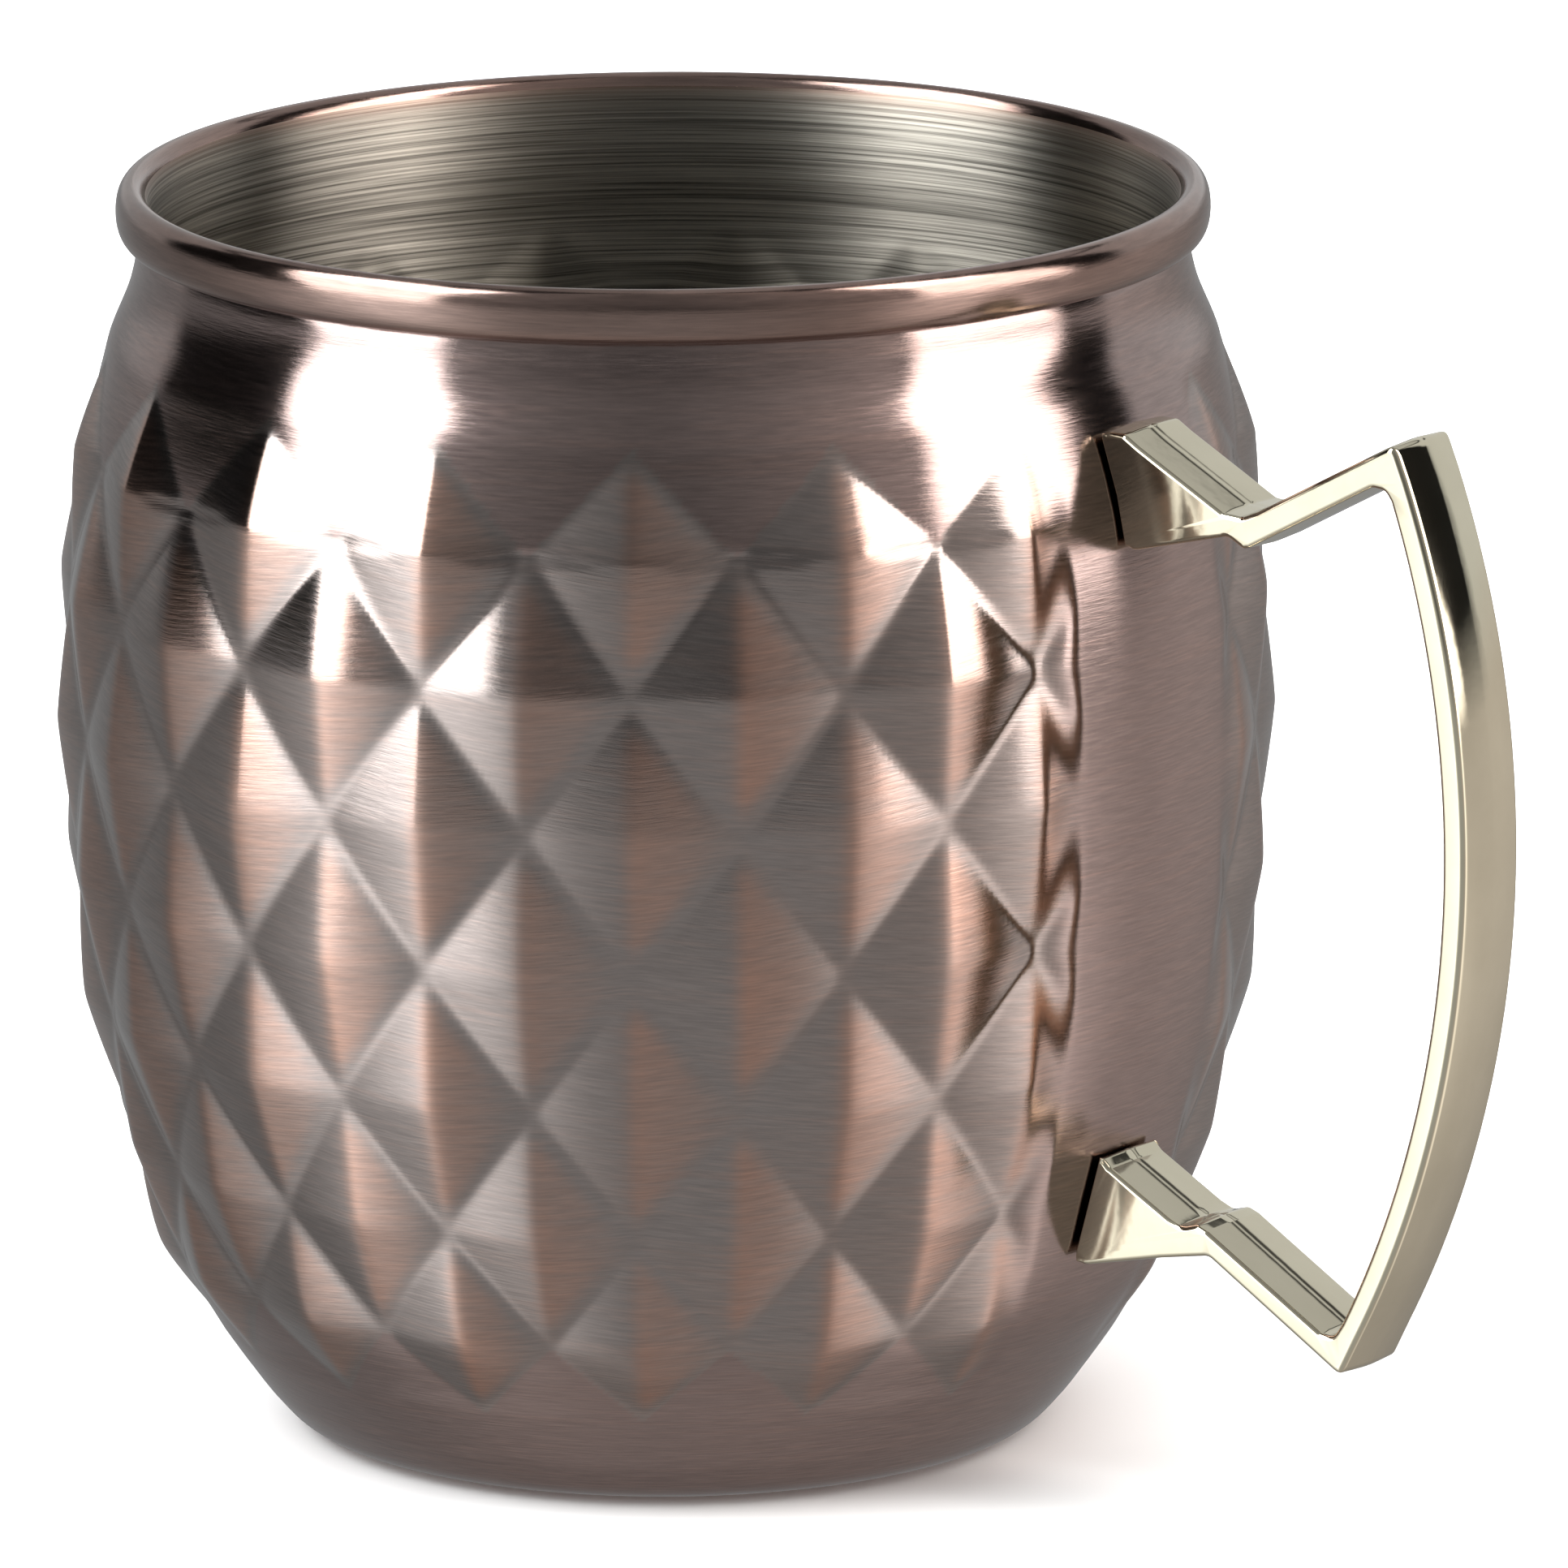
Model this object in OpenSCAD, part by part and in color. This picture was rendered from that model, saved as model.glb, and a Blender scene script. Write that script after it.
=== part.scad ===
// Barrel mug in copper-plated sheet steel with an embossed diamond pattern,
// a curled rim and an angular cast handle held by two projection welds.
// Millimetres. +Z up. The origin is the centre of the flat underside,
// and the handle points along +X.

/* [Cup] */
// Radius of the flat area that the mug stands on
base_r = 26.8; // [24:0.1:29]
// Outer radius of the belly, at the widest height
belly_r = 47.8; // [46:0.1:50]
// Outer radius of the neck just under the rim bead
neck_r = 41.3; // [40:0.1:42]
// Overall height, to the top of the rim bead
mug_h = 99.9; // [98:0.1:104]
// Thickness of the sheet
sheet_t = 0.8; // [0.6:0.05:1.2]

/* [Rim bead] */
// Height of the curled rim, measured along the axis
bead_h = 4.3; // [3.4:0.1:4.8]
// Width of the curled rim, measured across the sheet
bead_w = 2.5; // [2.2:0.1:3]

/* [Diamond pattern] */
// Number of diamonds around the cup in one row
columns = 16; // [14:2:18]
// Angle left smooth behind the handle, in degrees
panel_angle = 32; // [24:1:40]
// Height of the diamond tips nearest the rim
pattern_top = 87.7; // [86:0.1:89]
// Height that a diamond's tip stands out above the sheet
apex_rise = 0.30; // [0:0.05:0.5]
// Depth of the grooves at the diamonds' corners, below the sheet
groove_depth = 0.75; // [0.2:0.05:1]

/* [Handle] */
// Width of the handle bar, side to side
bar_w = 7.5; // [6:0.1:9]
// Thickness of the bow between its inner and outer faces
bow_t = 2.5; // [2:0.1:3.2]
// Farthest reach of the bow from the mug's axis
bow_reach = 79.0; // [77:0.5:84]

/* [Welds] */
// Diameter of each projection weld between a handle foot and the wall
weld_d = 4.6; // [3:0.1:6]

/* [Hidden] */

copper = [0.55, 0.36, 0.30];
brass = [0.85, 0.81, 0.66];
weld_col = [0.45, 0.42, 0.38];

// ---- outer profile of the cup: stations [height, radius] -----------------
stations = [
    [0, base_r], [0.8, base_r + 2.6], [2.8, base_r + 4.8], [5.4, base_r + 6.8],
    [8.4, base_r + 8.9], [15.0, base_r + 13.3], [24.5, belly_r - 4.6],
    [35.2, belly_r - 1.9], [46.3, belly_r - 0.5], [57.6, belly_r],
    [68.6, belly_r - 0.2], [79.4, belly_r - 1.6], [87.7, neck_r + 2.3],
    [92.0, neck_r + 0.6], [96.0, neck_r]
];
n_st = len(stations);

// slope of the profile at station i, from its two neighbours
function slope(i) =
    i == 0 ? (stations[1][1] - stations[0][1]) / (stations[1][0] - stations[0][0]) :
    i == n_st - 1 ? 0 :
    (stations[i + 1][1] - stations[i - 1][1]) / (stations[i + 1][0] - stations[i - 1][0]);
// index of the station interval that holds height z
function seg(z, i = 0) = i >= n_st - 2 || z <= stations[i + 1][0] ? i : seg(z, i + 1);
// cubic blend through the stations
function wall_r(z) =
    let (i = seg(z), a = stations[i], b = stations[i + 1], h = b[0] - a[0],
         t = max(0, min(1, (z - a[0]) / h)))
    (2 * t * t * t - 3 * t * t + 1) * a[1] + (t * t * t - 2 * t * t + t) * h * slope(i)
    + (-2 * t * t * t + 3 * t * t) * b[1] + (t * t * t - t * t) * h * slope(i + 1);
// slope of the wall at height z
function wall_dr(z) = (wall_r(min(96, z + 0.4)) - wall_r(max(0.4, z - 0.4))) / 0.8;

// ---- rows of the diamond pattern -----------------------------------------
// Row pitch shrinks where the barrel closes in towards its base.
row_z = [8.4, 15.0, 24.5, 35.2, 46.3, 57.6, 68.6, 79.4, pattern_top];
n_rows = len(row_z);
n_half = 2 * columns;              // half columns round the pattern
half_a = (360 - panel_angle) / n_half;
n_pan = 4;                         // steps across the smooth panel
n_pos = n_half + n_pan;            // points in one ring
// angle of point j of a ring, starting at the panel's +Y edge
function ang(j) = j <= n_half ? panel_angle / 2 + j * half_a
    : 360 - panel_angle / 2 + (j - n_half) * panel_angle / n_pan;
// a corner where grooves cross is -1, a diamond's tip is +1, smooth sheet is 0
function relief(row, j) =
    row <= 0 || row >= n_rows - 1 ? ((row + j) % 2 == 0 ? -0.25 : 0) :
    j > n_half ? 0 : ((row + j) % 2 == 0 ? -1 : 1);
function relief_mm(row, j) = let (v = relief(row, j)) v > 0 ? v * apex_rise : v * groove_depth;

// ---- rings of the sheet, outside from the base up, inside from the neck down
low_z = [0, 0.8, 2.8, 5.4];
high_z = [90.2, 93.0, 96.0];
// the sheet goes on up into the bead
top_z = mug_h - bead_h / 2;
function pt(r, z, j) = [r * cos(ang(j)), r * sin(ang(j)), z];
function in_shift(z) = sheet_t * sqrt(1 + pow(wall_dr(z), 2));
outer = concat(
    [for (z = low_z) [for (j = [0:n_pos - 1]) pt(wall_r(z), z, j)]],
    [for (k = [0:n_rows - 1]) [for (j = [0:n_pos - 1]) pt(wall_r(row_z[k]) + relief_mm(k, j), row_z[k], j)]],
    [for (z = high_z) [for (j = [0:n_pos - 1]) pt(wall_r(z), z, j)]],
    [[for (j = [0:n_pos - 1]) pt(neck_r + 0.45, top_z, j)]]);
inner = concat(
    [[for (j = [0:n_pos - 1]) pt(neck_r + 0.45 - sheet_t, top_z, j)]],
    [for (i = [len(high_z) - 1:-1:0]) let (z = high_z[i]) [for (j = [0:n_pos - 1]) pt(wall_r(z) - in_shift(z), z, j)]],
    [for (k = [n_rows - 1:-1:0]) [for (j = [0:n_pos - 1])
        pt(wall_r(row_z[k]) + relief_mm(k, j) - in_shift(row_z[k]), row_z[k], j)]],
    [for (z = [5.4, 2.8]) [for (j = [0:n_pos - 1]) pt(wall_r(z) - in_shift(z), z, j)]],
    [[for (j = [0:n_pos - 1]) pt(wall_r(0.8) - 1.9, 1.25, j)]],
    [[for (j = [0:n_pos - 1]) pt(base_r - 0.6, sheet_t, j)]]);
rings = concat(outer, inner);
n_rings = len(rings);
first_band = len(low_z);                      // ring of the lowest pattern row
first_in = len(outer) + 1 + len(high_z);      // its inside ring at the top row
// the cell between ring i and ring i+1 is split along its groove
function split(i, j) =
    i >= first_band && i < first_band + n_rows - 1 ? ((i - first_band + j) % 2 == 0) :
    i >= first_in && i < first_in + n_rows - 1 ? ((n_rows - 1 - (i - first_in) + j) % 2 == 0) :
    (j % 2 == 0);
function id(i, j) = 1 + i * n_pos + (j % n_pos);
sheet_pts = concat([[0, 0, 0]], [for (r = rings) for (p = r) p], [[0, 0, sheet_t]]);
sheet_faces = concat(
    [for (j = [0:n_pos - 1]) [0, id(0, j), id(0, j + 1)]],
    [for (i = [0:n_rings - 2]) for (j = [0:n_pos - 1]) for (s = [0, 1])
        split(i, j)
            ? (s == 0 ? [id(i, j), id(i + 1, j), id(i + 1, j + 1)] : [id(i, j), id(i + 1, j + 1), id(i, j + 1)])
            : (s == 0 ? [id(i, j), id(i + 1, j), id(i, j + 1)] : [id(i + 1, j), id(i + 1, j + 1), id(i, j + 1)])],
    [for (j = [0:n_pos - 1]) [id(n_rings - 1, j), len(sheet_pts) - 1, id(n_rings - 1, j + 1)]]);

// ---- handle outline in the X-Z plane --------------------------------------
// points of the circular arc through a, m and b, in n steps
function centre3(a, m, b) =
    let (d = 2 * (a[0] * (m[1] - b[1]) + m[0] * (b[1] - a[1]) + b[0] * (a[1] - m[1])),
         a2 = a * a, m2 = m * m, b2 = b * b)
    [(a2 * (m[1] - b[1]) + m2 * (b[1] - a[1]) + b2 * (a[1] - m[1])) / d,
     (a2 * (b[0] - m[0]) + m2 * (a[0] - b[0]) + b2 * (m[0] - a[0])) / d];
function arc3(a, m, b, n) =
    let (c = centre3(a, m, b), r = norm(a - c),
         t0 = atan2(a[1] - c[1], a[0] - c[0]), t1 = atan2(b[1] - c[1], b[0] - c[0]))
    [for (i = [0:n]) let (t = t0 + (t1 - t0) * i / n) c + r * [cos(t), sin(t)]];

bow_mid = 57.5;     // height at which the bow reaches farthest
handle_outline = concat(
    // upper foot, notch and upper arm
    [[44.7, 86.0], [46.9, 86.0], [48.2, 85.2], [56.2, 80.9], [57.8, 80.8], [59.2, 81.4], [71.4, 88.1]],
    // outer face of the bow
    arc3([72.6, 87.7], [bow_reach, bow_mid], [67.9, 14.6], 20),
    // lower arm and lower foot
    [[67.3, 14.0], [54.6, 21.2], [50.2, 20.4], [41.9, 18.5], [43.4, 23.4], [44.5, 28.1], [45.4, 27.2],
     [51.0, 24.0], [52.2, 23.5], [53.6, 23.9], [54.6, 23.5], [65.4, 16.9], [66.4, 16.8]],
    // inner face of the bow
    arc3([67.2, 18.0], [bow_reach - bow_t, bow_mid], [71.6, 83.6], 18),
    // underside of the upper arm and foot
    [[71.1, 84.3], [70.0, 84.4], [58.6, 78.2], [57.9, 78.0], [56.4, 78.8], [47.6, 76.4], [46.5, 81.0]]);

// ---- sub-parts --------------------------------------------------------------
module cup_shell() {
    color(copper) union() {
        polyhedron(points = sheet_pts, faces = sheet_faces, convexity = 6);
        // the rim is curled outward into an oval bead
        rotate_extrude($fn = 96)
            translate([neck_r + bead_w / 2 - sheet_t, mug_h - bead_h / 2])
                bead_section();
    }
}

module bead_section() {
    // two end radii joined by straight sides
    r = bead_w / 2;
    translate([0, bead_h / 2 - r]) circle(r = r, $fn = 32);
    translate([0, -bead_h / 2 + r]) circle(r = r, $fn = 32);
    square([bead_w, bead_h - bead_w], center = true);
}

module handle() {
    color(brass)
        translate([0, bar_w / 2, 0]) rotate([90, 0, 0])
            linear_extrude(height = bar_w) polygon(handle_outline);
}

// a weld stands square to the wall at height z, and bites into the wall
// and into the handle foot
module weld(z, gap) {
    bite = 0.3;
    color(weld_col)
        translate([wall_r(z), 0, z]) rotate([0, 90 + atan(wall_dr(z)), 0])
            translate([0, 0, -bite]) cylinder(d = weld_d, h = gap + 2 * bite, $fn = 40);
}

module upper_weld() { weld(81.0, 0.45); }
module lower_weld() { weld(23.4, 0.45); }

cup_shell();
handle();
upper_weld();
lower_weld();
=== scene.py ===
import math

import bmesh
import bpy
import numpy as np
from mathutils import Matrix, Vector
from mathutils.geometry import tessellate_polygon


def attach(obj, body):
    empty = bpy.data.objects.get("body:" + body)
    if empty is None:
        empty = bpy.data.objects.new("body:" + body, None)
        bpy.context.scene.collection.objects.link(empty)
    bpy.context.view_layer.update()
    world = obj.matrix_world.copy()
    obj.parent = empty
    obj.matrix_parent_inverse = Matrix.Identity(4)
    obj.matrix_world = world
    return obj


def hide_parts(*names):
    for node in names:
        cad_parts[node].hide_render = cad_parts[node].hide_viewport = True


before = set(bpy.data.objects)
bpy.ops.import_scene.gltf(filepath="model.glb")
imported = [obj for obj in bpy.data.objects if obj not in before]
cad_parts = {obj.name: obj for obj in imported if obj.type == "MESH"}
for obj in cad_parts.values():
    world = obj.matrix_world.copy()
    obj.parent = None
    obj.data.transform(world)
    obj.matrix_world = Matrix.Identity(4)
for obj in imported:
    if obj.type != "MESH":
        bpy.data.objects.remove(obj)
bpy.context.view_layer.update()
scene = bpy.context.scene
scene.view_settings.view_transform = "Standard"
scene.view_settings.look = "None"

MM = 0.001

# ---------------------------------------------------------------- dimensions
# the same driving sizes as the CAD model, in millimetres
BASE_R, BELLY_R, NECK_R, MUG_H, SHEET = 26.8, 47.8, 41.3, 99.9, 0.8
BEAD_H, BEAD_W = 4.3, 2.5
COLUMNS, PANEL = 16, 32.0
APEX, GROOVE = 0.28, 0.75
STATIONS = np.array([
    [0, BASE_R], [0.8, BASE_R + 2.6], [2.8, BASE_R + 4.8], [5.4, BASE_R + 6.8],
    [8.4, BASE_R + 8.9], [15.0, BASE_R + 13.3], [24.5, BELLY_R - 4.6],
    [35.2, BELLY_R - 1.9], [46.3, BELLY_R - 0.5], [57.6, BELLY_R],
    [68.6, BELLY_R - 0.2], [79.4, BELLY_R - 1.6], [87.7, NECK_R + 2.3],
    [92.0, NECK_R + 0.6], [96.0, NECK_R]])
ROW_Z = np.array([8.4, 15.0, 24.5, 35.2, 46.3, 57.6, 68.6, 79.4, 87.7])
HALF_A = (360 - PANEL) / (2 * COLUMNS)


def smooth(a, b, x):
    t = np.clip((x - a) / (b - a), 0, 1)
    return t * t * (3 - 2 * t)


def wall_r(z):
    """Outer radius of the sheet with no relief: the CAD profile's cubic, lightly smoothed."""
    z = np.asarray(z, float)
    n = len(STATIONS)
    zs, rs = STATIONS[:, 0], STATIONS[:, 1]
    m = np.empty(n)
    m[0] = (rs[1] - rs[0]) / (zs[1] - zs[0])
    m[-1] = 0
    m[1:-1] = (rs[2:] - rs[:-2]) / (zs[2:] - zs[:-2])
    i = np.clip(np.searchsorted(zs, z, side="left") - 1, 0, n - 2)
    h = zs[i + 1] - zs[i]
    t = np.clip((z - zs[i]) / h, 0, 1)
    return ((2 * t**3 - 3 * t**2 + 1) * rs[i] + (t**3 - 2 * t**2 + t) * h * m[i]
            + (-2 * t**3 + 3 * t**2) * rs[i + 1] + (t**3 - t**2) * h * m[i + 1])


def level_of(z):
    """Row coordinate of the pattern: 0 at its lower tips, 8 at its upper tips."""
    z = np.asarray(z, float)
    lv = np.interp(z, ROW_Z, np.arange(9.0))
    lv = np.where(z < ROW_Z[0], (z - ROW_Z[0]) / 6.6, lv)
    return np.where(z > ROW_Z[-1], 8 + (z - ROW_Z[-1]) / 8.3, lv)


def soft_abs(x, s):
    return np.sqrt(x * x + s * s) - s


def pattern(theta, z, soft=1.0):
    """Relief in mm of the embossed diamonds at angle theta (degrees) and height z (mm), with masks.

    k counts half-columns from the panel's edge and lv counts rows, so that every diamond is the
    square |dk| + |dl| < 1 about its apex. Each is a low pyramid: its upright ridge is well
    rounded, its level ridge is crisp, and a flat-bottomed groove runs between neighbours."""
    th = theta % 360.0
    th = np.where(th > 180, th - 360, th)          # -180..180, handle at 0
    side = np.abs(th)
    k = (side - PANEL / 2) / HALF_A                # 0 at the panel's edge, 16 opposite the handle
    lv = level_of(z)
    u0 = 2 * np.floor((k + lv) / 2) + 1
    v0 = 2 * np.floor((k - lv) / 2) + 1
    k0, l0 = (u0 + v0) / 2, (u0 - v0) / 2
    dk, dl = k - k0, lv - l0
    t = 1 - soft_abs(dk, 0.095 * soft) - soft_abs(dl, np.where(l0 > 6.5, 0.012, 0.05) * soft)
    flat, s = 0.145, 0.02 * soft
    x = t - flat
    h = 0.5 * (x + np.sqrt(x * x + s * s)) / (1 - flat)
    amp = APEX + GROOVE
    # the grooves rise to the plain sheet over the last row at the top and at the bottom
    depth = -GROOVE * np.clip(np.minimum(lv, 8 - lv), 0, 1)
    end = 0.06
    q = np.minimum(lv, 8 - lv)
    depth = -GROOVE * (1 - 0.5 * ((1 - q) + np.sqrt((1 - q) ** 2 + end**2)))
    depth = np.where(q < 0.25, depth * smooth(-0.22, 0.25, q), depth)
    depth = np.minimum(depth, 0)
    kk = np.abs((k + 1) % 2 - 1)                   # 0 on even columns, 1 on odd ones
    inside = ((lv < 8 - kk) & (lv > kk)).astype(float)
    rel = depth + amp * h * inside
    # the top row is folded along its widest level: a fine crease either side of each apex
    rel = rel - 0.10 * np.exp(-((lv - 7) / 0.045) ** 2) * smooth(0.15, 0.55, np.abs(dk)) * (lv > 6.5)
    # the smooth panel behind the handle
    keep = smooth(-0.50, 0.04, k)
    out = rel * keep + 0.05 * (1 - keep) * smooth(0, 1, np.clip(q, 0, 1))
    # painted reflection: one side of each upright ridge is tinted copper-brown for the dim studio its facets mirror,
    # and the patina is also worn a little off each crest
    d = dk * np.where(th < 0, -1, 1)
    painted_reflection_side = smooth(-0.13, 0.08, d) * (1 - 0.85 * smooth(0.20, 0.88, d)) * smooth(0.01, 0.30, h)
    crest = np.exp(-(dk / 0.15) ** 2) * smooth(0.0, 0.3, h)
    # mask for the copper tone: real wear along the crests, plus painted reflection on one side of each ridge
    wear_and_painted_reflection = np.clip(0.58 * painted_reflection_side + 0.24 * crest, 0, 1) * inside * keep
    flatness = inside * keep                        # 1 where the sheet was pressed into facets
    return out, wear_and_painted_reflection, flatness, keep


# ---------------------------------------------------------------- cup mesh
N_TH = 640
th = np.arange(N_TH) * 360.0 / N_TH


def arc_points(cx, cz, rx, rz, a0, a1, n, p=2.0):
    a = np.radians(np.linspace(a0, a1, n))
    c, s = np.cos(a), np.sin(a)
    return np.stack([cx + rx * np.sign(c) * np.abs(c) ** (2 / p), cz + rz * np.sign(s) * np.abs(s) ** (2 / p)], -1)


rows = []          # each: (kind, r or None, z)
for r in np.linspace(2.0, BASE_R - 0.9, 10):
    rows.append(("plain", r, 0.0))
# heel: a small round into the profile
for r, z in ((BASE_R - 0.35, 0.01), (BASE_R + 0.25, 0.06)):
    rows.append(("plain", r, z))
for z in np.concatenate([np.linspace(0.22, 2.4, 10), np.arange(2.8, 7.4, 0.5)]):
    rows.append(("outer", None, z))
for z in np.arange(7.6, 89.2, 0.37):
    rows.append(("outer", None, z))
for z in np.arange(89.6, 96.05, 0.55):
    rows.append(("outer", None, z))
bead_r, bead_z = NECK_R + BEAD_W / 2 - SHEET, MUG_H - BEAD_H / 2 - 0.01
# the curl's free end stands a little off the neck, which leaves a fine dark crevice under it
rows = [row for row in rows if not (row[0] == "outer" and row[2] > 94.9)]
for r, z in ((NECK_R - 0.03, 95.15), (NECK_R - 0.15, 95.55), (NECK_R - 0.30, 95.85), (NECK_R - 0.40, 96.15), (NECK_R - 0.38, 96.3)):
    rows.append(("plain", r, z))
bead = arc_points(bead_r, bead_z, BEAD_W / 2, BEAD_H / 2, -128, 178, 42, 2.3)
for r, z in bead:
    rows.append(("plain", r, z))
for z in np.arange(97.2, 89.0, -0.7):
    rows.append(("inner", None, z))
for z in np.arange(88.6, 7.4, -0.62):
    rows.append(("inner", None, z))
for z in (6.6, 5.8, 5.0, 4.2, 3.5, 2.9, 2.4):
    rows.append(("inner", None, z))
for r, z in ((BASE_R + 2.3, 1.85), (BASE_R + 1.5, 1.35), (BASE_R + 0.4, 1.02), (BASE_R - 1.0, 0.86), (BASE_R - 2.6, 0.80)):
    rows.append(("plain", r, z))
for r in np.linspace(BASE_R - 4.6, 2.0, 9):
    rows.append(("plain", r, 0.80))

# a steeper heel: replace the profile's chamfer by a round one
R = np.zeros((len(rows), N_TH))
Z = np.zeros((len(rows), N_TH))
A_H = np.zeros_like(R)
A_G = np.zeros_like(R)
A_IN = np.zeros_like(R)
for i, (kind, r, z) in enumerate(rows):
    if kind == "plain":
        R[i] = r
        Z[i] = z
    else:
        zz = np.full(N_TH, z)
        base = wall_r(min(z, 96.0))
        if kind == "outer":
            rel, h, g, keep = pattern(th, zz, 1.0)
            if z < 7.4 or z > 89.2:
                rel = rel * 0
            R[i] = base + rel
            A_H[i], A_G[i] = h, g
        else:
            rel, h, g, keep = pattern(th, zz, 1.7)
            if z < 7.2 or z > 89.2:
                rel = rel * 0
            dr = (wall_r(min(96, z + 0.4)) - wall_r(max(0.4, z - 0.4))) / 0.8
            R[i] = base + rel * 0.92 - SHEET * math.sqrt(1 + float(dr) ** 2) - 0.02
            A_H[i], A_G[i] = h, g
        Z[i] = z
first_inner = next(i for i, r in enumerate(rows) if r[0] == "inner")
A_H[first_inner - len(bead):first_inner] = 0.50
for i in range(first_inner - len(bead), first_inner):
    A_IN[i] = 1.0
for i, v in enumerate((0.7, 0.5, 0.32, 0.2, 0.1, 0.05)):
    A_IN[first_inner - 5 + i] = v
# the last part of the bead turns from copper to steel inside
rad = np.radians(th)
X, Y = R * np.cos(rad), R * np.sin(rad)
nr = len(rows)
verts = np.concatenate([[[0, 0, 0]], np.stack([X, Y, Z], -1).reshape(-1, 3), [[0, 0, 0.80]]]) * MM


def vid(i, j):
    return 1 + i * N_TH + (j % N_TH)


ii, jj = np.meshgrid(np.arange(nr - 1), np.arange(N_TH), indexing="ij")
ii, jj = ii.ravel(), jj.ravel()
quads = np.stack([vid(ii, jj), vid(ii, jj + 1), vid(ii + 1, jj + 1), vid(ii + 1, jj)], -1)
j = np.arange(N_TH)
fan0 = np.stack([np.zeros_like(j), vid(0, j + 1), vid(0, j)], -1)
fan1 = np.stack([vid(nr - 1, j), vid(nr - 1, j + 1), np.full_like(j, len(verts) - 1)], -1)


def build_mesh(name, verts, quads, tris):
    me = bpy.data.meshes.new(name)
    nq, nt = len(quads), len(tris)
    me.vertices.add(len(verts))
    me.vertices.foreach_set("co", np.asarray(verts, np.float32).ravel())
    me.loops.add(nq * 4 + nt * 3)
    me.loops.foreach_set("vertex_index", np.concatenate([quads.ravel(), tris.ravel()]).astype(np.int32))
    me.polygons.add(nq + nt)
    starts = np.concatenate([np.arange(nq) * 4, nq * 4 + np.arange(nt) * 3]).astype(np.int32)
    me.polygons.foreach_set("loop_start", starts)
    me.polygons.foreach_set("use_smooth", np.ones(nq + nt, bool))
    me.update(calc_edges=True)
    me.validate()
    ob = bpy.data.objects.new(name, me)
    scene.collection.objects.link(ob)
    return ob


cup = build_mesh("cup_body", verts, quads, np.concatenate([fan0, fan1]))


def attr(ob, name, values):
    a = ob.data.attributes.new(name, "FLOAT", "POINT")
    a.data.foreach_set("value", np.asarray(values, np.float32).ravel())


def pad(a, first, last):
    return np.concatenate([[first], a.ravel(), [last]])


attr(cup, "wear_and_painted_reflection_mask", pad(A_H, 0, 0))
attr(cup, "pressed", pad(A_G, 0, 0))
attr(cup, "tint", pad(A_IN, 0, 0))


# ---------------------------------------------------------------- materials
def new_mat(name):
    m = bpy.data.materials.new(name)
    m.use_nodes = True
    nt = m.node_tree
    nt.nodes.clear()
    out = nt.nodes.new("ShaderNodeOutputMaterial")
    p = nt.nodes.new("ShaderNodeBsdfPrincipled")
    nt.links.new(p.outputs["BSDF"], out.inputs["Surface"])
    return m, nt, p


def N(nt, kind, **kw):
    n = nt.nodes.new(kind)
    for k, v in kw.items():
        setattr(n, k, v)
    return n


def math_node(nt, op, a, b=None, c=None, clamp=False):
    n = nt.nodes.new("ShaderNodeMath")
    n.operation = op
    n.use_clamp = clamp
    for i, v in enumerate((a, b, c)):
        if v is None:
            continue
        if isinstance(v, (int, float)):
            n.inputs[i].default_value = v
        else:
            nt.links.new(v, n.inputs[i])
    return n.outputs[0]


def mix_col(nt, fac, a, b, blend="MIX"):
    n = nt.nodes.new("ShaderNodeMix")
    n.data_type = "RGBA"
    n.blend_type = blend
    if isinstance(fac, (int, float)):
        n.inputs["Factor"].default_value = fac
    else:
        nt.links.new(fac, n.inputs["Factor"])
    for sock, v in (("A", a), ("B", b)):
        s = [x for x in n.inputs if x.name == sock and x.type == "RGBA"][0]
        if isinstance(v, tuple):
            s.default_value = (*v, 1.0)
        else:
            nt.links.new(v, s)
    return [x for x in n.outputs if x.type == "RGBA"][0]


def stretched_noise(nt, sx, sz, scale=1.0, detail=3.0, round_axis=False):
    """Noise drawn out round the axis, so that it reads as horizontal brushing."""
    tc = N(nt, "ShaderNodeTexCoord")
    sep = N(nt, "ShaderNodeSeparateXYZ")
    nt.links.new(tc.outputs["Object"], sep.inputs[0])
    z = sep.outputs["Z"]
    if round_axis:
        # height plus radius, so that the marks turn into circles on the flat base
        rr = math_node(nt, "ADD", math_node(nt, "MULTIPLY", sep.outputs["X"], sep.outputs["X"]),
                       math_node(nt, "MULTIPLY", sep.outputs["Y"], sep.outputs["Y"]))
        z = math_node(nt, "ADD", z, math_node(nt, "MULTIPLY", math_node(nt, "SQRT", rr), 0.7))
    cmb = N(nt, "ShaderNodeCombineXYZ")
    nt.links.new(math_node(nt, "MULTIPLY", sep.outputs["X"], sx), cmb.inputs["X"])
    nt.links.new(math_node(nt, "MULTIPLY", sep.outputs["Y"], sx), cmb.inputs["Y"])
    nt.links.new(math_node(nt, "MULTIPLY", z, sz), cmb.inputs["Z"])
    no = N(nt, "ShaderNodeTexNoise")
    no.inputs["Scale"].default_value = scale
    no.inputs["Detail"].default_value = detail
    no.inputs["Roughness"].default_value = 0.6
    nt.links.new(cmb.outputs[0], no.inputs["Vector"])
    return no.outputs["Fac"]


def ramp(nt, fac, stops, interp="EASE"):
    r = N(nt, "ShaderNodeValToRGB")
    r.color_ramp.interpolation = interp
    els = r.color_ramp.elements
    while len(els) < len(stops):
        els.new(0.5)
    for e, (p, c) in zip(els, stops):
        e.position = p
        e.color = (*c, 1.0) if isinstance(c, tuple) else (c, c, c, 1.0)
    nt.links.new(fac, r.inputs[0])
    return r.outputs[0]


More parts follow.
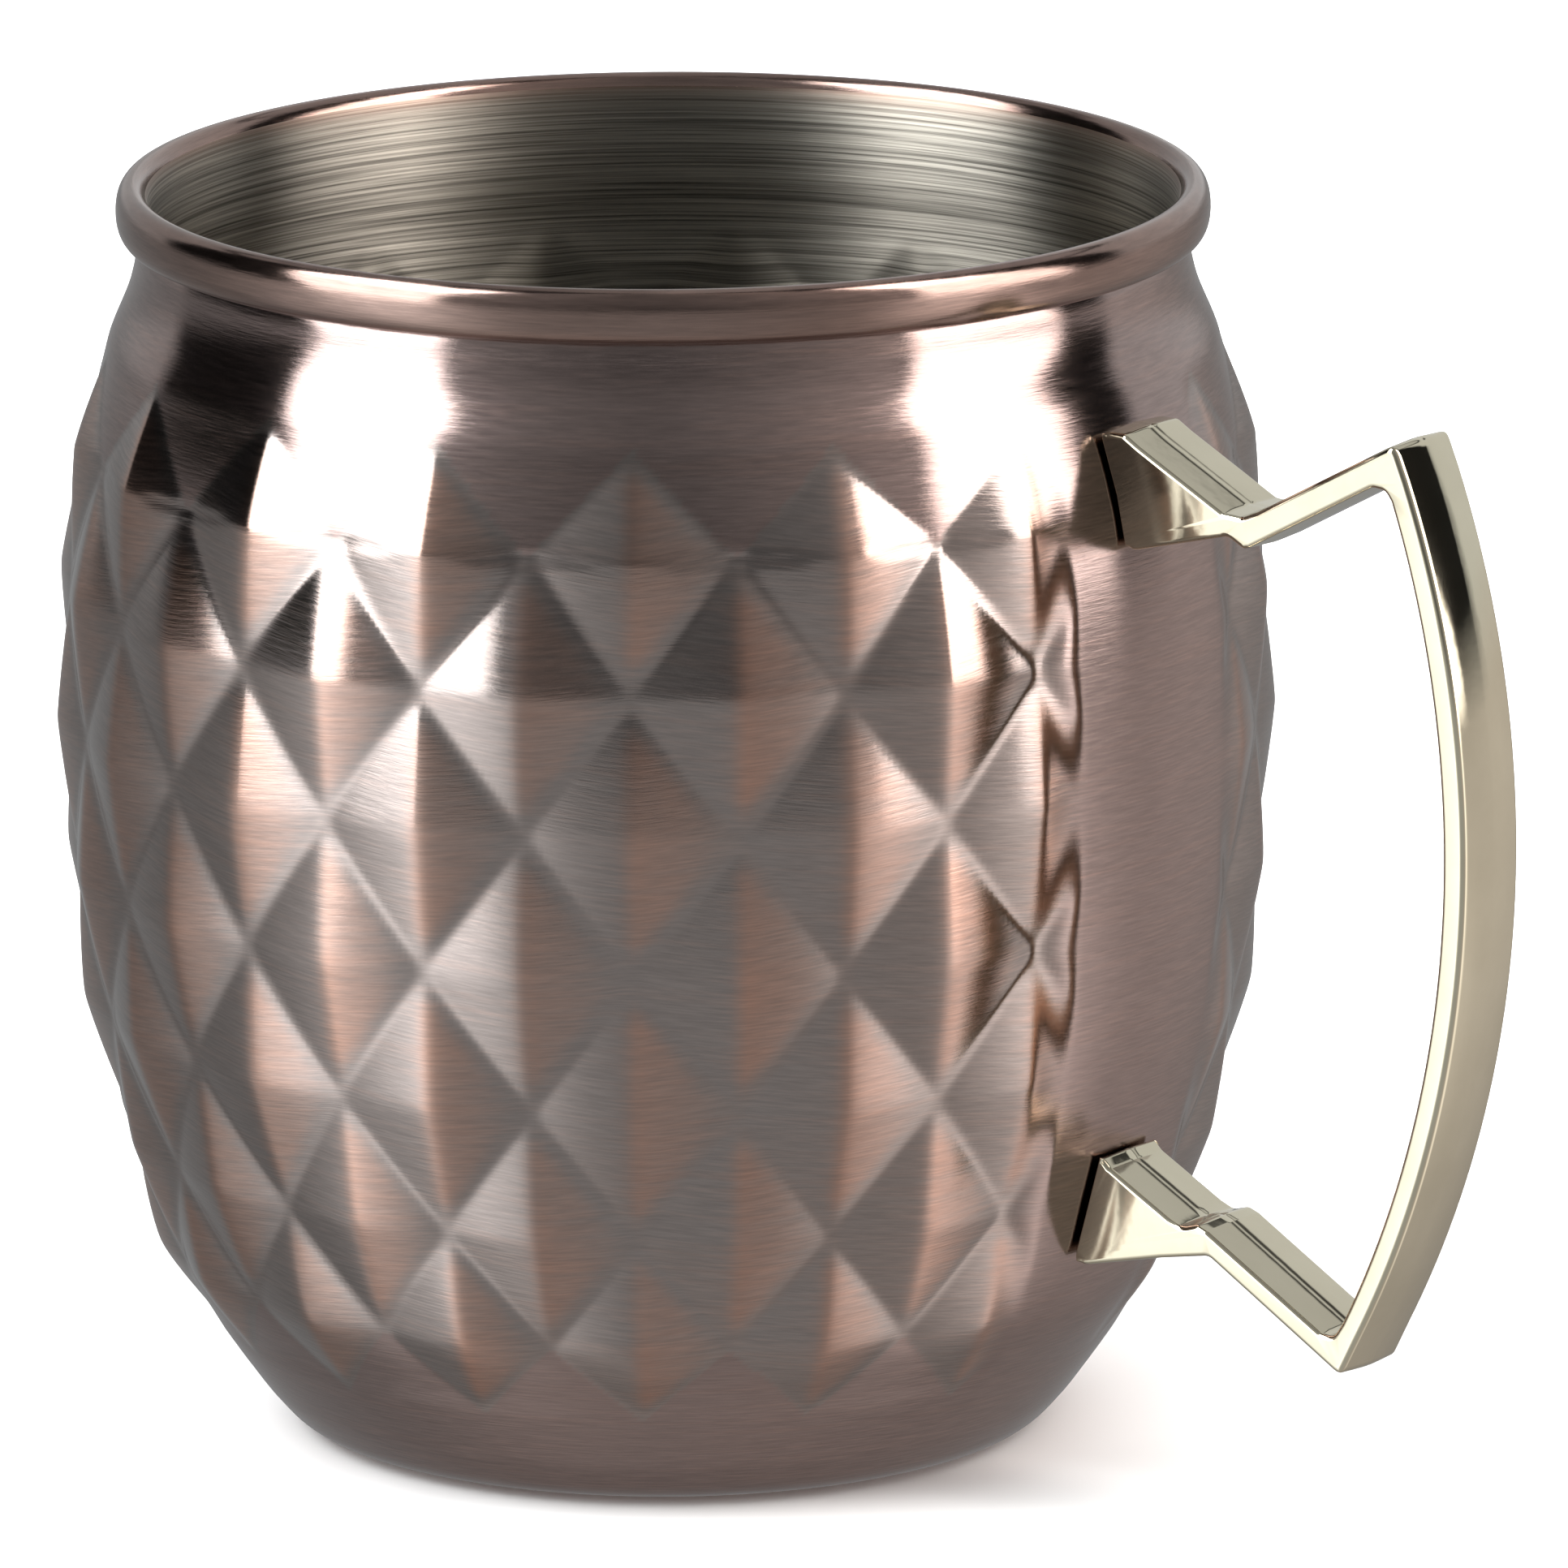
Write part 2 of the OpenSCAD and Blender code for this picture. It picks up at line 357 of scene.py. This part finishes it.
def radial_tangent(nt, p, aniso, rot):
    t = N(nt, "ShaderNodeTangent")
    t.direction_type = "RADIAL"
    t.axis = "Z"
    nt.links.new(t.outputs[0], p.inputs["Tangent"])
    p.inputs["Anisotropic"].default_value = aniso
    p.inputs["Anisotropic Rotation"].default_value = rot


# copper outside: mauve-brown patina, greyer on the pressed facets, worn to copper along the ridge crests, and a
# painted reflection that tints one side of each upright ridge copper-brown
copper, nt, p = new_mat("antique_copper")
at_h = N(nt, "ShaderNodeAttribute", attribute_name="wear_and_painted_reflection_mask")
at_g = N(nt, "ShaderNodeAttribute", attribute_name="pressed")
fine = stretched_noise(nt, 330, 5600, 1.0, 4.0, True)
mid = stretched_noise(nt, 45, 1500, 1.0, 3.0, True)
cloud = stretched_noise(nt, 70, 70, 1.0, 4.0)
# the copper mask, broken up by noise: real wear along the crests plus painted reflection on one side of each upright
# ridge
wear_and_painted_reflection = math_node(nt, "MULTIPLY", at_h.outputs["Fac"], math_node(nt, "MULTIPLY_ADD", cloud, 1.3, 0.20))
wear_and_painted_reflection = math_node(nt, "ADD", wear_and_painted_reflection, math_node(nt, "MULTIPLY", math_node(nt, "SUBTRACT", mid, 0.5), 0.55))
wear_and_painted_reflection = math_node(nt, "ADD", wear_and_painted_reflection, math_node(nt, "MULTIPLY", math_node(nt, "SUBTRACT", fine, 0.5), 0.35), clamp=True)
plain = mix_col(nt, at_g.outputs["Fac"], (0.335, 0.256, 0.238), (0.330, 0.283, 0.265))
# copper colour for the worn crests, also used for the painted reflection on one side of each ridge
col = mix_col(nt, wear_and_painted_reflection, plain, (0.500, 0.298, 0.228))
streak = ramp(nt, fine, [(0.32, 0.87), (0.68, 1.09)], "LINEAR")
col = mix_col(nt, 1.0, col, streak, "MULTIPLY")
at_t = N(nt, "ShaderNodeAttribute", attribute_name="tint")
rolled = mix_col(nt, mid, (0.165, 0.118, 0.104), (0.34, 0.240, 0.206))
col = mix_col(nt, math_node(nt, "MULTIPLY", at_t.outputs["Fac"], 0.85), col, mix_col(nt, 1.0, rolled, streak, "MULTIPLY"))
nt.links.new(col, p.inputs["Base Color"])
p.inputs["Metallic"].default_value = 1.0
rough = math_node(nt, "ADD", 0.085, math_node(nt, "MULTIPLY", fine, 0.11))
rough = math_node(nt, "MULTIPLY_ADD", at_t.outputs["Fac"], 0.01, rough)
nt.links.new(rough, p.inputs["Roughness"])
radial_tangent(nt, p, 0.85, 0.25)
bump = N(nt, "ShaderNodeBump")
bump.inputs["Strength"].default_value = 0.17
bump.inputs["Distance"].default_value = 0.00008
nt.links.new(fine, bump.inputs["Height"])
nt.links.new(bump.outputs[0], p.inputs["Normal"])

# brushed steel inside
steel, nt, p = new_mat("brushed_steel_inside")
fine = stretched_noise(nt, 36, 6000, 1.0, 4.0, True)
col = ramp(nt, fine, [(0.34, (0.13, 0.120, 0.103)), (0.66, (0.56, 0.522, 0.455))], "LINEAR")
at_t = N(nt, "ShaderNodeAttribute", attribute_name="tint")
col = mix_col(nt, math_node(nt, "MULTIPLY", at_t.outputs["Fac"], 0.9), col, (0.41, 0.26, 0.20))
nt.links.new(col, p.inputs["Base Color"])
p.inputs["Metallic"].default_value = 1.0
nt.links.new(math_node(nt, "ADD", 0.38, math_node(nt, "MULTIPLY", fine, 0.12)), p.inputs["Roughness"])
radial_tangent(nt, p, 1.0, 0.25)
bump = N(nt, "ShaderNodeBump")
bump.inputs["Strength"].default_value = 0.15
bump.inputs["Distance"].default_value = 0.0002
nt.links.new(fine, bump.inputs["Height"])
nt.links.new(bump.outputs[0], p.inputs["Normal"])

# polished pale brass
brass, nt, p = new_mat("polished_pale_brass")
cloud = stretched_noise(nt, 120, 120, 1.0, 4.0)
col = ramp(nt, cloud, [(0.3, (0.63, 0.575, 0.435)), (0.7, (0.69, 0.632, 0.485))], "LINEAR")
nt.links.new(col, p.inputs["Base Color"])
p.inputs["Metallic"].default_value = 1.0
nt.links.new(math_node(nt, "ADD", 0.035, math_node(nt, "MULTIPLY", cloud, 0.05)), p.inputs["Roughness"])
bump = N(nt, "ShaderNodeBump")
bump.inputs["Strength"].default_value = 0.06
bump.inputs["Distance"].default_value = 0.0003
nt.links.new(cloud, bump.inputs["Height"])
nt.links.new(bump.outputs[0], p.inputs["Normal"])

# weld metal
weld, nt, p = new_mat("weld_metal")
cloud = stretched_noise(nt, 900, 900, 1.0, 4.0)
col = ramp(nt, cloud, [(0.3, (0.10, 0.085, 0.075)), (0.7, (0.22, 0.19, 0.17))], "LINEAR")
nt.links.new(col, p.inputs["Base Color"])
p.inputs["Metallic"].default_value = 1.0
p.inputs["Roughness"].default_value = 0.6

cup.data.materials.append(copper)
cup.data.materials.append(steel)
mat_idx = np.zeros(len(cup.data.polygons), np.int32)
steel_from = first_inner - 5
q_row = ii
mat_idx[:len(quads)][q_row >= steel_from] = 1
mat_idx[len(quads) + N_TH:] = 1
cup.data.polygons.foreach_set("material_index", mat_idx)
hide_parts("cup_shell")
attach(cup, "root")


# ---------------------------------------------------------------- handle
def circ3(a, m, b, n):
    a, m, b = (np.array(v, float) for v in (a, m, b))
    A = 2 * np.array([m - a, b - a])
    c = np.linalg.solve(A, np.array([m @ m - a @ a, b @ b - a @ a]))
    r = np.linalg.norm(a - c)
    t0, t1 = math.atan2(*(a - c)[::-1]), math.atan2(*(b - c)[::-1])
    t = np.linspace(t0, t1, n + 1)
    return [(c[0] + r * math.cos(x), c[1] + r * math.sin(x)) for x in t]


BAR_W, BOW_T, REACH, MID = 7.5, 2.5, 78.98, 57.5
outline = ([(44.7, 86.0), (46.9, 86.0), (48.2, 85.2), (56.2, 80.9), (57.8, 80.8), (59.2, 81.4), (72.24, 88.5)]
           + circ3((73.49, 85.5), (REACH, MID), (68.97, 16.5), 48)
           + [(67.3, 13.3), (54.6, 21.2), (50.2, 20.4), (41.9, 18.5), (43.4, 23.4), (44.5, 28.1), (45.4, 27.2),
              (51.0, 24.0), (52.2, 23.5), (53.6, 23.9), (54.6, 23.5), (65.4, 16.9), (66.4, 16.8)]
           + circ3((67.2, 18.0), (REACH - BOW_T, MID), (71.6, 83.6), 44)
           + [(71.1, 84.3), (70.0, 84.4), (58.6, 78.2), (57.9, 78.0), (56.4, 78.8), (47.6, 76.4), (46.5, 81.0)])


def fillet(pts, radius, n=4):
    """Rounds every corner of a closed outline by up to radius, with n steps."""
    pts = [np.array(p, float) for p in pts]
    out = []
    m = len(pts)
    for i in range(m):
        a, b, c = pts[i - 1], pts[i], pts[(i + 1) % m]
        u, v = a - b, c - b
        lu, lv = np.linalg.norm(u), np.linalg.norm(v)
        u, v = u / lu, v / lv
        ang = math.acos(max(-1, min(1, float(u @ v))))
        if math.pi - ang < math.radians(8):
            out.append(b)
            continue
        cut = min(radius / math.tan(ang / 2), lu * 0.42, lv * 0.42)
        p0, p1 = b + u * cut, b + v * cut
        for k in range(n + 1):
            t = k / n
            out.append((1 - t) ** 2 * p0 + 2 * t * (1 - t) * b + t * t * p1)
    return np.array(out)


# the feet stop a fine gap short of the wall
for i, (x, z) in enumerate(outline):
    if (x, z) in ((44.7, 86.0), (47.6, 76.4), (46.5, 81.0), (41.9, 18.5), (43.4, 23.4), (44.5, 28.1)):
        outline[i] = (float(wall_r(z)) + 0.27, z)
prof = fillet(outline, 1.0, 5)
area2 = 0.5 * np.sum(prof[:, 0] * np.roll(prof[:, 1], -1) - np.roll(prof[:, 0], -1) * prof[:, 1])
if area2 < 0:
    prof = prof[::-1]
n = len(prof)
tan = np.roll(prof, -1, 0) - np.roll(prof, 1, 0)
tan /= np.linalg.norm(tan, axis=1)[:, None]
nin = np.stack([-tan[:, 1], tan[:, 0]], -1)            # points into the bar
# 1 on the bow's outer face, which is crowned and has the larger edge rounds
on_bow = (prof[:, 0] > 67.5) * (nin[:, 0] < -0.5) * 1.0
for _ in range(3):
    on_bow = (np.roll(on_bow, 1) + on_bow * 2 + np.roll(on_bow, -1)) / 4
to_wall = (nin[:, 0] > 0.75) * (prof[:, 0] < 49) * 1.0
edge_r = 0.42 + 0.13 * on_bow - 0.27 * to_wall
crown = 0.15 + 0.07 * on_bow - 0.15 * to_wall
rings = []
HB = BAR_W / 2
for ang in np.linspace(0, math.pi / 2, 7):              # one edge round, from the flat side outwards
    inset = edge_r * (1 - math.sin(ang))
    y = HB - edge_r * (1 - math.cos(ang))
    rings.append((inset + crown, -y))
for f in (-0.75, -0.5, -0.25, -0.05, 0.0, 0.05, 0.25, 0.5, 0.75):      # across the bar
    line = 0.05 * (1 - on_bow) * (f == 0)               # a fine parting line along the middle
    rings.append((crown * (on_bow * f * f + (1 - on_bow) * abs(f)) + line, f * (HB - edge_r)))
for ang in np.linspace(math.pi / 2, 0, 7):
    inset = edge_r * (1 - math.sin(ang))
    y = HB - edge_r * (1 - math.cos(ang))
    rings.append((inset + crown, y))
hv = []
for inset, y in rings:
    q2 = prof + nin * np.broadcast_to(inset, (n,))[:, None]
    yy2 = np.broadcast_to(y, (n,))
    hv.append(np.stack([q2[:, 0], yy2, q2[:, 1]], -1))
hv = np.concatenate(hv) * MM
nr2 = len(rings)
ii2, jj2 = (v.ravel() for v in np.meshgrid(np.arange(nr2 - 1), np.arange(n), indexing="ij"))
hq = np.stack([ii2 * n + jj2, (ii2 + 1) * n + jj2, (ii2 + 1) * n + (jj2 + 1) % n, ii2 * n + (jj2 + 1) % n], -1)
cap = prof + nin * (edge_r + crown)[:, None]
tris = tessellate_polygon([[Vector((x, z, 0)) for x, z in cap]])
caps = [tuple(t) for t in tris] + [tuple((nr2 - 1) * n + v for v in t) for t in tris]
me = bpy.data.meshes.new("handle_bar")
me.from_pydata([tuple(v) for v in hv], [], [tuple(int(x) for x in f) for f in hq] + caps)
bm = bmesh.new()
bm.from_mesh(me)
bmesh.ops.recalc_face_normals(bm, faces=bm.faces[:])
for f in bm.faces:
    f.smooth = True
bm.to_mesh(me)
bm.free()
handle = bpy.data.objects.new("handle_bar", me)
scene.collection.objects.link(handle)
me.materials.append(brass)
wn = handle.modifiers.new("wn", "WEIGHTED_NORMAL")
wn.keep_sharp = False
wn.weight = 100
wn.mode = "FACE_AREA"
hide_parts("handle")
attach(handle, "root")

for name in ("upper_weld", "lower_weld"):
    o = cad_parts[name]
    o.data.materials.clear()
    o.data.materials.append(weld)

# ---------------------------------------------------------------- floor, light, camera
floor_me = bpy.data.meshes.new("floor")
S = 6.0
floor_me.from_pydata([(-S, -S, 0), (S, -S, 0), (S, S, 0), (-S, S, 0)], [], [(0, 1, 2, 3)])
floor = bpy.data.objects.new("floor", floor_me)
scene.collection.objects.link(floor)
fm, nt, p = new_mat("floor_paint")
p.inputs["Base Color"].default_value = (0.82, 0.82, 0.82, 1)
p.inputs["Roughness"].default_value = 0.9
p.inputs["Specular IOR Level"].default_value = 0.0
floor_me.materials.append(fm)
floor.visible_glossy = False        # the metal mirrors the studio, set out by direction below

CAM_AZ = 36.0          # the handle stands 54 degrees to the right of the viewer
CAM_EL = 13.312
CAM_D = 1.800
a, e = math.radians(CAM_AZ), math.radians(CAM_EL)
back = Vector((math.sin(a) * math.cos(e), -math.cos(a) * math.cos(e), math.sin(e)))
right = Vector((math.cos(a), math.sin(a), 0))
cam_data = bpy.data.cameras.new("camera")
cam = bpy.data.objects.new("camera", cam_data)
scene.collection.objects.link(cam)
cam_data.sensor_width = 36.0
cam_data.lens = 15.6 * CAM_D * 1000 * 36.0 / 1932.0
cam_data.clip_start, cam_data.clip_end = 0.05, 50
cam.location = right * (9.280 * MM) + Vector((0, 0, 50.98 * MM)) + back * CAM_D
q = (-back).to_track_quat("-Z", "Y")
roll = Matrix.Rotation(math.radians(-0.263), 4, "Z")
cam.matrix_world = Matrix.Translation(cam.location) @ q.to_matrix().to_4x4() @ roll
scene.camera = cam

# a plain studio: soft grey surroundings with two tall soft boxes and dark gaps beside them
world = bpy.data.worlds.new("studio")
scene.world = world
world.use_nodes = True
nt = world.node_tree
nt.nodes.clear()
wout = nt.nodes.new("ShaderNodeOutputWorld")
bg = nt.nodes.new("ShaderNodeBackground")
nt.links.new(bg.outputs[0], wout.inputs["Surface"])
tc = nt.nodes.new("ShaderNodeTexCoord")
rotn = nt.nodes.new("ShaderNodeVectorRotate")
rotn.rotation_type = "Z_AXIS"
# turn so that +X points from the mug to the viewer's side
rotn.inputs["Angle"].default_value = -math.atan2(back.y, back.x)
nt.links.new(tc.outputs["Generated"], rotn.inputs["Vector"])
sep = nt.nodes.new("ShaderNodeSeparateXYZ")
nt.links.new(rotn.outputs[0], sep.inputs[0])
az = math_node(nt, "ARCTAN2", sep.outputs["Y"], sep.outputs["X"])        # radians, + to the viewer's right
az = math_node(nt, "MULTIPLY", az, 180 / math.pi)
el = math_node(nt, "MULTIPLY", math_node(nt, "ARCSINE", sep.outputs["Z"]), 180 / math.pi)


def band(x, lo, hi, soft):
    up = math_node(nt, "MULTIPLY_ADD", x, 1 / soft, 0.5 - lo / soft, clamp=True)
    dn = math_node(nt, "MULTIPLY_ADD", x, -1 / soft, 0.5 + hi / soft, clamp=True)
    return math_node(nt, "MULTIPLY", up, dn)


def edge(x, at, soft):
    return math_node(nt, "MULTIPLY_ADD", x, 1 / soft, 0.5 - at / soft, clamp=True)


def bell(x, centre, width):
    """exp(-((x - centre) / width)^2)"""
    u = math_node(nt, "MULTIPLY_ADD", x, 1 / width, -centre / width)
    return math_node(nt, "EXPONENT", math_node(nt, "MULTIPLY", math_node(nt, "MULTIPLY", u, u), -1.0))


def times(*vals):
    out = vals[0]
    for v in vals[1:]:
        out = math_node(nt, "MULTIPLY", out, v)
    return out


def plus(*vals):
    out = vals[0]
    for v in vals[1:]:
        out = math_node(nt, "ADD", out, v)
    return out


above = band(el, 0, 400, 7)
below = math_node(nt, "SUBTRACT", 1.0, above)
side = math_node(nt, "ABSOLUTE", math_node(nt, "ADD", az, 4))
# above the horizon, in front: dim, a little lighter towards the soft boxes
rise = math_node(nt, "MULTIPLY_ADD", math_node(nt, "POWER", math_node(nt, "MULTIPLY", side, 1 / 50), 1.7), 0.33, 0.105)
upper = times(band(az, -50, 54, 5), plus(rise, times(edge(el, 14, 20), 0.12)))
right_side = edge(az, 111, 4)
left_side = math_node(nt, "SUBTRACT", 1.0, edge(az, -127, 6))
behind = plus(times(right_side, 0.74), times(left_side, 0.52))
# behind: lighter up to a wall's top edge, darker above it
upper = plus(upper, times(behind, band(el, -90, 37.0, 2.0)), times(behind, band(el, 39.5, 90, 2.0), 0.80), 0.015)
upper = math_node(nt, "MAXIMUM", upper, times(band(el, 50, 200, 14), 0.075))
# the soft boxes: upright inside edges, leaning outside edges
lift = math_node(nt, "MAXIMUM", el, 0.0)
box_l = times(edge(math_node(nt, "MULTIPLY_ADD", lift, 0.50, az), -77.5, 2.0), math_node(nt, "SUBTRACT", 1.0, edge(az, -49, 2.5)))
box_r = times(edge(az, 56, 2.5), math_node(nt, "SUBTRACT", 1.0, edge(math_node(nt, "MULTIPLY_ADD", lift, 0.30, az), 96, 2.0)))
upper = plus(upper, times(plus(times(box_l, 5.4), times(box_r, 5.2)), plus(band(el, -60, 60, 10), times(band(el, 36, 60, 10), 1.2))))
# below it: the table top, which mirrors the soft boxes softly
lower = plus(0.30, times(band(az, -100, 100, 40), 0.15), times(bell(az, 118, 23), bell(el, 0, 42), 0.35),
             times(bell(az, -61, 18), bell(el, -5, 37), 1.90),
             times(bell(az, -92, 12), bell(el, -36, 26), 0.28),
             times(bell(az, 63, 14), bell(el, -2, 32), 1.40),
             times(bell(az, 84, 15), bell(el, -35, 20), 0.80))
level = plus(times(upper, above), times(lower, below))
nt.links.new(level, bg.inputs["Strength"])
# the surroundings are a little cooler to the viewer's left and warmer to the right
not_wall = math_node(nt, "SUBTRACT", 1.0, math_node(nt, "MULTIPLY", edge(az, 100, 12), above))
warm = times(edge(az, 24, 40), not_wall, math_node(nt, "SUBTRACT", 1.0, edge(az, 162, 36)))
warm = math_node(nt, "MAXIMUM", warm, times(edge(math_node(nt, "MULTIPLY", el, -1.0), 55, 24), 0.75))
tint = mix_col(nt, warm, (0.975, 1.0, 1.01), (1.045, 0.985, 0.95))
nt.links.new(tint, bg.inputs["Color"])

def area(name, pos, aim, w, h, power, color=(1, 1, 1)):
    ld = bpy.data.lights.new(name, "AREA")
    ld.shape = "RECTANGLE"
    ld.size, ld.size_y, ld.energy, ld.color = w, h, power, color
    lo = bpy.data.objects.new(name, ld)
    scene.collection.objects.link(lo)
    pos, aim = Vector(pos), Vector(aim)
    lo.matrix_world = Matrix.Translation(pos) @ (aim - pos).to_track_quat("-Z", "Y").to_matrix().to_4x4()
    lo.visible_camera = False
    return lo


def stage_point(r_, f_, z_):
    """r_ to the viewer's right, f_ towards the viewer, z_ up, in metres."""
    fr = Vector((math.sin(a), -math.cos(a), 0))
    return right * r_ + fr * f_ + Vector((0, 0, z_))


# one large soft light overhead keeps the floor pale; it is not mirrored in the metal
area("overhead", stage_point(0, 0.15, 1.3), stage_point(0, 0.0, 0), 1.8, 1.8, 36.0).visible_glossy = False
